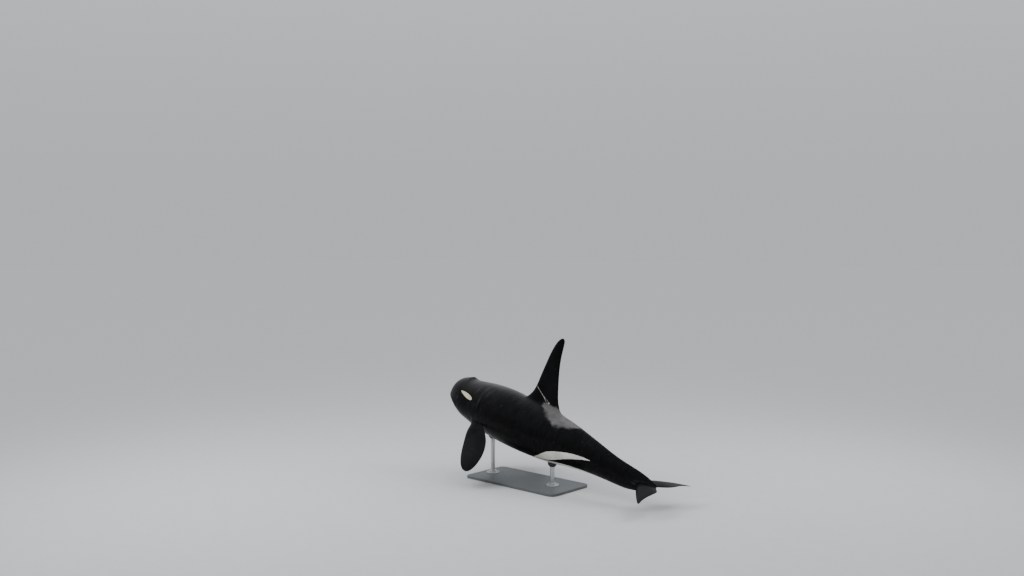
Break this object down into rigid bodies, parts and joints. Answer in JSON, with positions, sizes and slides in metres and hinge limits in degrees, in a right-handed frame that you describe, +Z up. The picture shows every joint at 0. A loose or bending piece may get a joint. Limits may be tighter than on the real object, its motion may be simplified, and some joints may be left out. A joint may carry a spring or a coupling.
{
  "type": "life-size adult male orca, still museum model on a display stand",
  "caption": "Life-size adult male orca lifting its head to breathe, with tall dorsal fin, broad flippers and flukes, on a flat-based stand with two short rods.",
  "frame": {"origin": "middle of the stand base's underside, on the floor plane", "axes": "+Z up, the animal faces -X, its left side is towards -Y and the row is symmetric about Y = 0"},
  "size_m": [6.2296, 2.7424, 3.3855],
  "materials": {
    "skin": "wet, smooth, glossy black skin with white and grey fields",
    "eye": "dark brown, wet gloss",
    "stand_paint": "satin dark grey paint",
    "stand_steel": "brushed",
    "stand_pad": "matte black pad"
  },
  "bodies": {
    "root": {"head": "skin", "lower_jaw": "skin", "chest": "skin", "trunk": "skin", "loins": "skin", "tail_stock_front": "skin", "tail_stock_rear": "skin", "dorsal_fin": "skin", "flipper_left": "skin", "flipper_right": "skin", "fluke_left": "skin", "fluke_right": "skin", "eye_left": "eye", "eye_right": "eye", "stand_base": "stand_paint", "stand_foot_front": "stand_steel", "stand_rod_front": "stand_steel", "stand_cup_front": "stand_pad", "stand_foot_rear": "stand_steel", "stand_rod_rear": "stand_steel", "stand_cup_rear": "stand_pad"}
  },
  "joints": []
}
